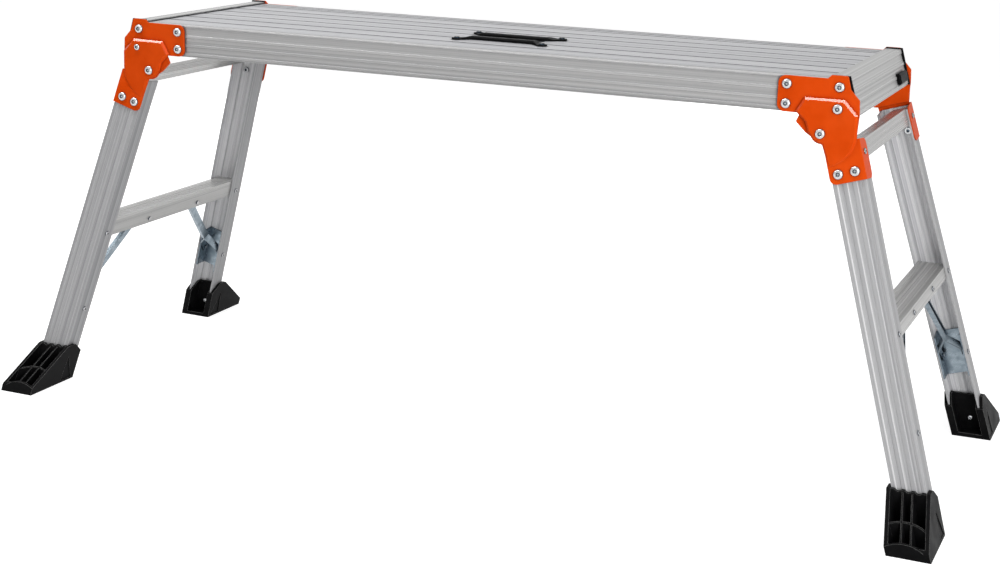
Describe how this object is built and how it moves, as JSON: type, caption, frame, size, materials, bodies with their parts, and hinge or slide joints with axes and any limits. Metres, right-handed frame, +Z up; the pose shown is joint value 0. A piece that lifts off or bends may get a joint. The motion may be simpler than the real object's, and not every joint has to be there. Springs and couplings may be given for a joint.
{
  "type": "work platform",
  "caption": "Folding aluminium work platform: ribbed plank deck with a hand hold, splayed leg frames with rungs and braces, riveted hinge brackets and moulded feet.",
  "frame": {"origin": "middle of the platform on the floor that the feet stand on", "axes": "+X along the deck to the right, +Y to the rear, +Z up"},
  "size_m": [1.327, 0.5548, 0.5345],
  "materials": {
    "aluminium": "mill, drawn lengthwise",
    "orange_coat": "powder coated steel",
    "zinc_plate": "zinc plated, blue passivated",
    "fastener_steel": "plated",
    "black_plastic": "moulded"
  },
  "bodies": {
    "deck": {"closing_plank": "aluminium", "deck_bracket_rivets": "fastener_steel", "end_bumpers": "black_plastic", "end_caps": "black_plastic", "front_hand_grip": "black_plastic", "front_plank": "aluminium", "front_side_rail": "aluminium", "grip_plank": "aluminium", "hand_grip_screws": "fastener_steel", "left_end_rail": "aluminium", "left_front_deck_bracket": "orange_coat", "left_rear_deck_bracket": "orange_coat", "middle_plank": "aluminium", "rear_hand_grip": "black_plastic", "rear_side_rail": "aluminium", "right_end_rail": "aluminium", "right_front_deck_bracket": "orange_coat", "right_rear_deck_bracket": "orange_coat"},
    "left_leg_frame": {"left_brace_bolts": "fastener_steel", "left_brace_rivets": "fastener_steel", "left_foot_rivets": "fastener_steel", "left_front_brace": "zinc_plate", "left_front_brace_plate": "zinc_plate", "left_front_foot": "black_plastic", "left_front_leg": "aluminium", "left_front_leg_bracket": "orange_coat", "left_leg_plate_rivets": "fastener_steel", "left_lock_pins": "fastener_steel", "left_pivot_pins": "fastener_steel", "left_rear_brace": "zinc_plate", "left_rear_brace_plate": "zinc_plate", "left_rear_foot": "black_plastic", "left_rear_leg": "aluminium", "left_rear_leg_bracket": "orange_coat", "left_rung": "aluminium", "left_rung_rivets": "fastener_steel", "left_upper_bar": "aluminium", "left_upper_bar_rivets": "fastener_steel"},
    "right_leg_frame": {"right_brace_bolts": "fastener_steel", "right_brace_rivets": "fastener_steel", "right_foot_rivets": "fastener_steel", "right_front_brace": "zinc_plate", "right_front_brace_plate": "zinc_plate", "right_front_foot": "black_plastic", "right_front_leg": "aluminium", "right_front_leg_bracket": "orange_coat", "right_leg_plate_rivets": "fastener_steel", "right_lock_pins": "fastener_steel", "right_pivot_pins": "fastener_steel", "right_rear_brace": "zinc_plate", "right_rear_brace_plate": "zinc_plate", "right_rear_foot": "black_plastic", "right_rear_leg": "aluminium", "right_rear_leg_bracket": "orange_coat", "right_rung": "aluminium", "right_rung_rivets": "fastener_steel", "right_upper_bar": "aluminium", "right_upper_bar_rivets": "fastener_steel"}
  },
  "joints": [
    {"name": "left_leg_fold", "type": "hinge", "parent": "deck", "child": "left_leg_frame", "pos_m": [-0.4725, 0, 0.4648], "axis": [0, -1, 0], "range_deg": [0, 104]},
    {"name": "right_leg_fold", "type": "hinge", "parent": "deck", "child": "right_leg_frame", "pos_m": [0.4725, 0, 0.4648], "axis": [0, 1, 0], "range_deg": [0, 96]}
  ]
}
